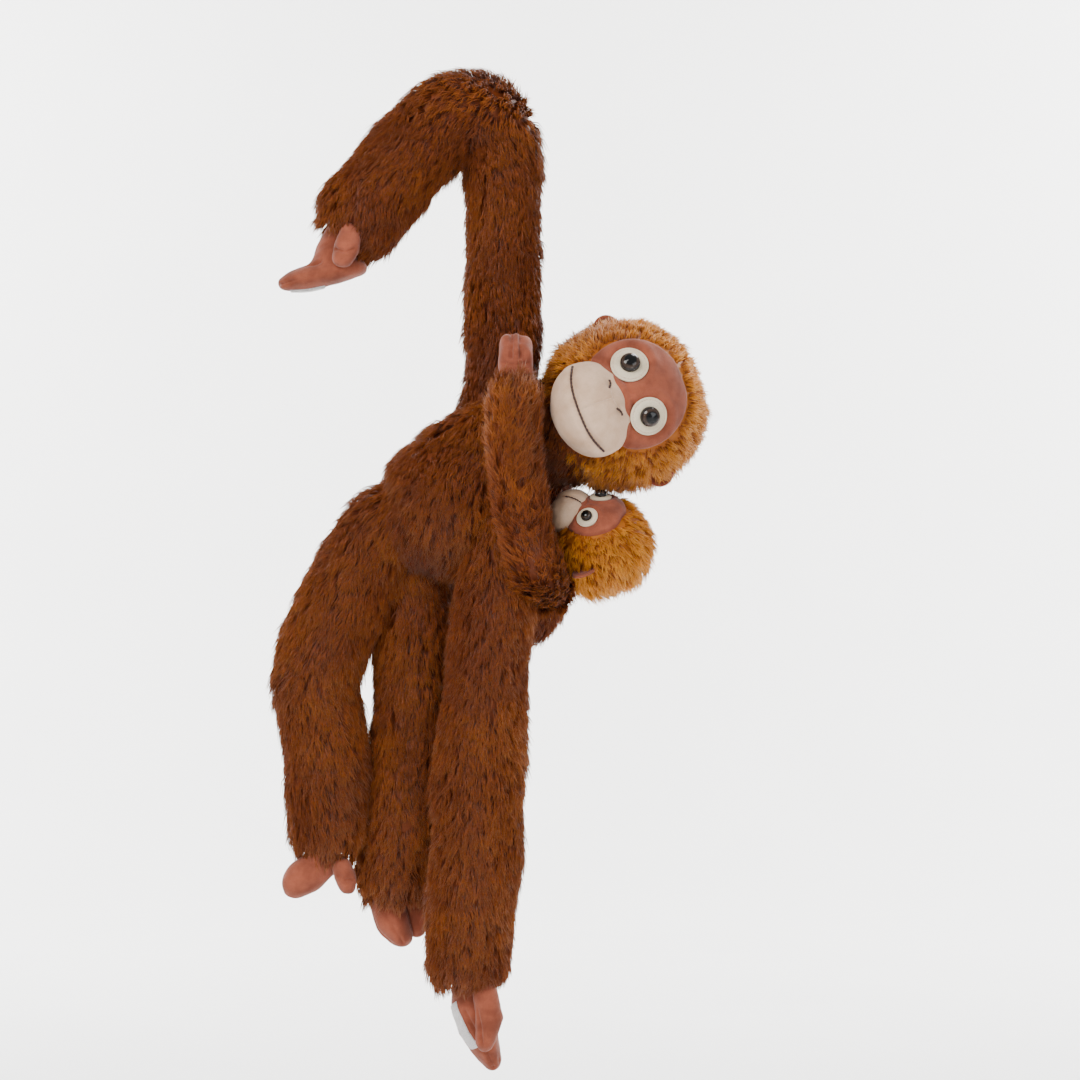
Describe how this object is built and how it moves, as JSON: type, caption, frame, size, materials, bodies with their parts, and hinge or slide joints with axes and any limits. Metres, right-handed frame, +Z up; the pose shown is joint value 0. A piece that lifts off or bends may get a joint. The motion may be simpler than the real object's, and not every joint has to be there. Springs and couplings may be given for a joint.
{
  "type": "stuffed monkey",
  "caption": "Plush ape with long arms and legs, long brown-orange fur and a velour face, hanging by one bent arm with a baby ape clinging to its shoulder.",
  "frame": {"origin": "middle of the raised arm's bend, where a hand, hook or bar holds the toy", "axes": "+X to the toy's left as seen from the front, +Y behind it, +Z up along the hanging toy"},
  "size_m": [0.2964, 0.143, 0.6929],
  "materials": {
    "fur": "long pile plush",
    "fur_head": "long pile plush, lighter",
    "velour": "short pile velour",
    "cream_velour": "short pile velour",
    "felt": "felt",
    "thread": "embroidery thread",
    "hook_tape": "woven hook tape",
    "fibre_fill": "loose polyester fibre",
    "eye_plastic": "gloss",
    "washer_plastic": "matt"
  },
  "bodies": {
    "raised_arm": {"upper_arm_r_cover": "fur", "upper_arm_r_filling": "fibre_fill", "bend_r_cover": "fur", "bend_r_filling": "fibre_fill"},
    "forearm_r": {"forearm_r_cover": "fur", "forearm_r_filling": "fibre_fill"},
    "hand_r": {"hand_r": "velour", "thumb_r": "velour", "palm_patch_r": "hook_tape"},
    "torso": {"shoulder_r_cover": "fur", "torso_cover": "fur", "torso_stubs": "fur", "torso_filling": "fibre_fill"},
    "head": {"head_cover": "fur_head", "head_filling": "fibre_fill", "face_panel": "velour", "muzzle": "cream_velour", "eye_rings": "felt", "eyes": "eye_plastic", "eye_washers": "washer_plastic", "ears": "velour", "mouth_stitching": "thread", "nostril_stitching": "thread"},
    "upper_arm_l": {"upper_arm_l_cover": "fur", "upper_arm_l_filling": "fibre_fill"},
    "forearm_l": {"forearm_l_cover": "fur", "forearm_l_filling": "fibre_fill"},
    "hand_l": {"hand_l": "velour", "thumb_l": "velour", "palm_patch_l": "hook_tape"},
    "thigh_r": {"thigh_r_cover": "fur", "thigh_r_filling": "fibre_fill"},
    "shin_r": {"shin_r_cover": "fur", "shin_r_filling": "fibre_fill"},
    "foot_r": {"foot_r": "velour", "big_toe_r": "velour"},
    "thigh_l": {"thigh_l_cover": "fur", "thigh_l_filling": "fibre_fill"},
    "shin_l": {"shin_l_cover": "fur", "shin_l_filling": "fibre_fill"},
    "foot_l": {"foot_l": "velour", "big_toe_l": "velour"},
    "baby_torso": {"baby_torso_cover": "fur", "baby_torso_filling": "fibre_fill"},
    "baby_head": {"baby_head_cover": "fur_head", "baby_head_filling": "fibre_fill", "baby_face_panel": "velour", "baby_muzzle": "cream_velour", "baby_eye_rings": "felt", "baby_eyes": "eye_plastic", "baby_ears": "velour", "baby_nose_stitching": "thread"},
    "baby_arm_r": {"baby_arm_r_cover": "fur", "baby_hand_r": "velour"},
    "baby_arm_l": {"baby_arm_l_cover": "fur", "baby_hand_l": "velour"},
    "baby_leg_r": {"baby_leg_r_cover": "fur", "baby_foot_r": "velour"},
    "baby_leg_l": {"baby_leg_l_cover": "fur", "baby_foot_l": "velour"}
  },
  "joints": [
    {"name": "elbow_r", "type": "hinge", "parent": "raised_arm", "child": "forearm_r", "pos_m": [-0.01967, -0.00312, 0.01671], "axis": [-0.1564, 0.9877, 0], "range_deg": [0, 60]},
    {"name": "wrist_r", "type": "hinge", "parent": "forearm_r", "child": "hand_r", "pos_m": [-0.084, -0.015, -0.061], "axis": [0, 1, 0], "range_deg": [-20, 20]},
    {"name": "shoulder_r", "type": "hinge", "parent": "raised_arm", "child": "torso", "pos_m": [0.02568, 0.00407, -0.122], "axis": [1, 0, 0], "range_deg": [-20, 20]},
    {"name": "neck", "type": "hinge", "parent": "torso", "child": "head", "pos_m": [0.109, -0.008, -0.178], "axis": [0.9397, 0, 0.342], "range_deg": [-20, 20]},
    {"name": "shoulder_l", "type": "hinge", "parent": "torso", "child": "upper_arm_l", "pos_m": [0.025, -0.022, -0.27], "axis": [-0.8, 0.6, 0], "range_deg": [0, 25]},
    {"name": "elbow_l", "type": "hinge", "parent": "upper_arm_l", "child": "forearm_l", "pos_m": [0.009, -0.024, -0.416], "axis": [-1, 0, 0], "range_deg": [0, 80]},
    {"name": "wrist_l", "type": "hinge", "parent": "forearm_l", "child": "hand_l", "pos_m": [0.001, -0.026, -0.572], "axis": [0, 1, 0], "range_deg": [-20, 20]},
    {"name": "hip_r", "type": "hinge", "parent": "torso", "child": "thigh_r", "pos_m": [-0.068, -0.002, -0.258], "axis": [0, 1, 0], "range_deg": [0, 45]},
    {"name": "knee_r", "type": "hinge", "parent": "thigh_r", "child": "shin_r", "pos_m": [-0.104, -0.002, -0.367], "axis": [1, 0, 0], "range_deg": [0, 70]},
    {"name": "ankle_r", "type": "hinge", "parent": "shin_r", "child": "foot_r", "pos_m": [-0.097, -0.002, -0.483], "axis": [0, 1, 0], "range_deg": [-20, 20]},
    {"name": "hip_l", "type": "hinge", "parent": "torso", "child": "thigh_l", "pos_m": [-0.036, 0.016, -0.298], "axis": [1, 0, 0], "range_deg": [0, 50]},
    {"name": "knee_l", "type": "hinge", "parent": "thigh_l", "child": "shin_l", "pos_m": [-0.038, 0.014, -0.405], "axis": [1, 0, 0], "range_deg": [0, 70]},
    {"name": "ankle_l", "type": "hinge", "parent": "shin_l", "child": "foot_l", "pos_m": [-0.05, 0.012, -0.519], "axis": [1, 0, 0], "range_deg": [-20, 20]},
    {"name": "baby_pull", "type": "slide", "parent": "torso", "child": "baby_torso", "axis": [0.8, 0, -0.6], "range_m": [0, 0.08]},
    {"name": "baby_neck", "type": "hinge", "parent": "baby_torso", "child": "baby_head", "pos_m": [0.094, -0.011, -0.275], "axis": [0.9925, 0, -0.1219], "range_deg": [-15, 15]},
    {"name": "baby_shoulder_r", "type": "hinge", "parent": "baby_torso", "child": "baby_arm_r", "pos_m": [0.06, 0.006, -0.303], "axis": [1, 0, 0], "range_deg": [0, 55]},
    {"name": "baby_shoulder_l", "type": "hinge", "parent": "baby_torso", "child": "baby_arm_l", "pos_m": [0.066, 0.038, -0.268], "axis": [-1, 0, 0], "range_deg": [0, 40]},
    {"name": "baby_hip_r", "type": "hinge", "parent": "baby_torso", "child": "baby_leg_r", "pos_m": [0.058, 0.02, -0.312], "axis": [1, 0, 0], "range_deg": [0, 20]},
    {"name": "baby_hip_l", "type": "hinge", "parent": "baby_torso", "child": "baby_leg_l", "pos_m": [0.062, 0.038, -0.308], "axis": [1, 0, 0], "range_deg": [0, 20]}
  ],
  "couplings": [
    {"joint": "baby_shoulder_r", "follows": "baby_pull", "rad_per_m": 10.908},
    {"joint": "baby_shoulder_l", "follows": "baby_pull", "rad_per_m": 7.854}
  ]
}
